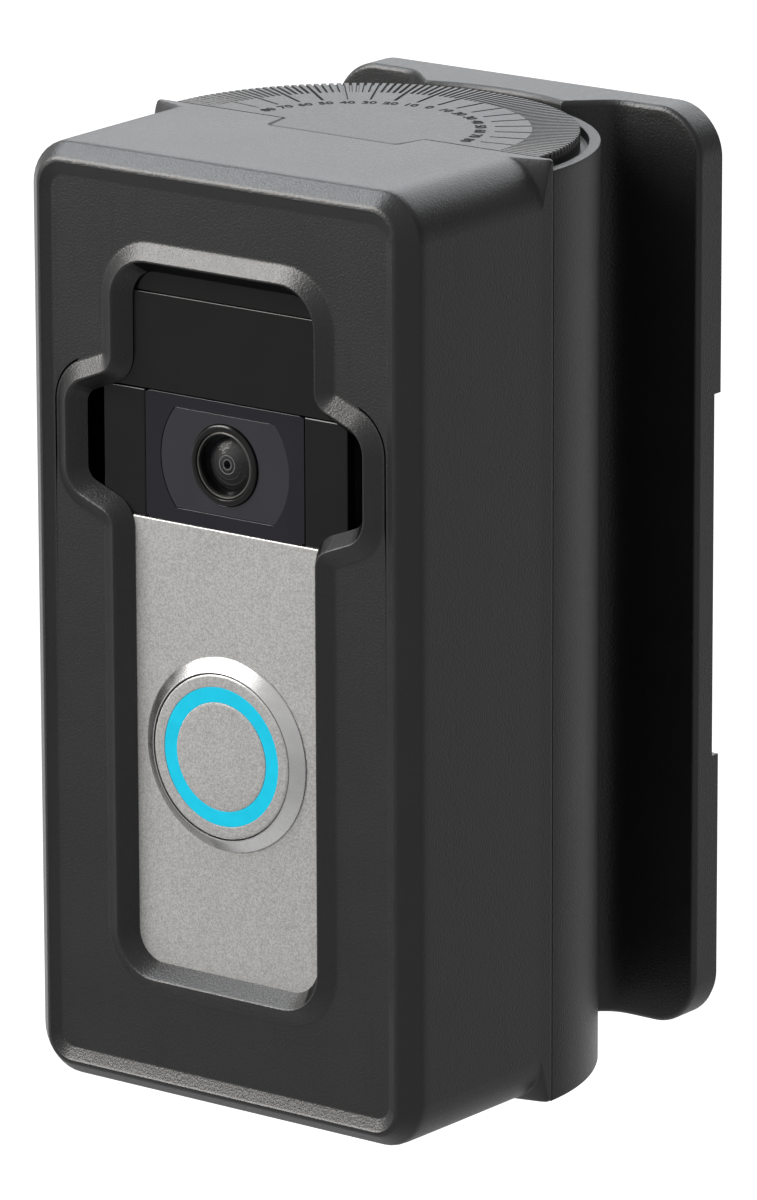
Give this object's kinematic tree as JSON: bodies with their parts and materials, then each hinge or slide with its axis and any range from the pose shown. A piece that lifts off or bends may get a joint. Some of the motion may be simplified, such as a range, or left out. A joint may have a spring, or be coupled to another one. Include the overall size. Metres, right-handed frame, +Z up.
{
  "type": "video doorbell",
  "caption": "Video doorbell in a locking case with a raised collar, angle dial and a drum that swivels on the neck of a flat wall bracket; its round button presses in.",
  "frame": {"origin": "middle of the wall bracket's back face, on the wall", "axes": "+Z up, +X to the right of someone facing the doorbell, front faces -Y, +Y into the wall"},
  "size_m": [0.0766, 0.0848, 0.151],
  "materials": {
    "case_black": "fine-grained satin black plastic",
    "dial_grey": "satin dark grey plastic with engraved graduations",
    "bracket_black": "fine-grained satin black plastic",
    "inner_black": "plain black moulding",
    "adhesive": "grey acrylic foam tape",
    "foam": "closed-cell foam",
    "bush": "natural acetal",
    "steel": "zinc-plated screws",
    "silver_plate": "fine sand-blasted satin nickel colour",
    "bezel_chrome": "satin chrome",
    "ring_light": "frosted cyan light guide",
    "gloss_black": "gloss black plastic",
    "smoked_window": "smoked window",
    "optics": "coated glass",
    "ring_metal": "dark anodised ring",
    "board": "green solder mask",
    "parts_dark": "moulded components",
    "lamp_white": "white lamp bodies"
  },
  "bodies": {
    "bracket": {"wall_plate": "bracket_black", "adhesive_pads": "adhesive", "swivel_hub": "inner_black", "pivot_bushes": "bush", "hub_screws": "steel"},
    "button": {"button_cap": "silver_plate", "light_ring": "ring_light", "switch_plunger": "gloss_black"},
    "case": {"front_shell": "case_black", "rear_shell": "case_black", "dial_cap": "dial_grey", "chassis": "inner_black", "top_spacer": "inner_black", "doorbell_housing": "inner_black", "lens_holder": "inner_black", "terminal_block": "inner_black", "speaker": "inner_black", "side_pads": "foam", "friction_washers": "bush", "pivot_screws": "steel", "chassis_screws": "steel", "security_screws": "steel", "terminal_screws": "steel", "bell_screws": "steel", "faceplate_screw": "steel", "shield_can": "steel", "faceplate": "silver_plate", "button_bezel": "bezel_chrome", "camera_cover": "gloss_black", "camera_side_trims": "gloss_black", "lens_barrel": "gloss_black", "iris_plate": "gloss_black", "tactile_switch": "gloss_black", "microphone": "gloss_black", "camera_window": "smoked_window", "lens_glass": "optics", "inner_lens": "optics", "lens_ring": "ring_metal", "camera_board": "board", "main_board": "board", "light_board": "board", "image_sensor": "parts_dark", "infrared_leds": "parts_dark", "storage_capacitors": "parts_dark", "ring_lamps": "lamp_white"}
  },
  "joints": [
    {"name": "swivel", "type": "hinge", "parent": "bracket", "child": "case", "pos_m": [0, -0.0487, 0], "axis": [0, 0, 1], "range_deg": [-30, 30]},
    {"name": "button_press", "type": "slide", "parent": "case", "child": "button", "axis": [0, 1, 0], "range_m": [0, 0.0006], "stiffness_N_per_m": 2500}
  ]
}
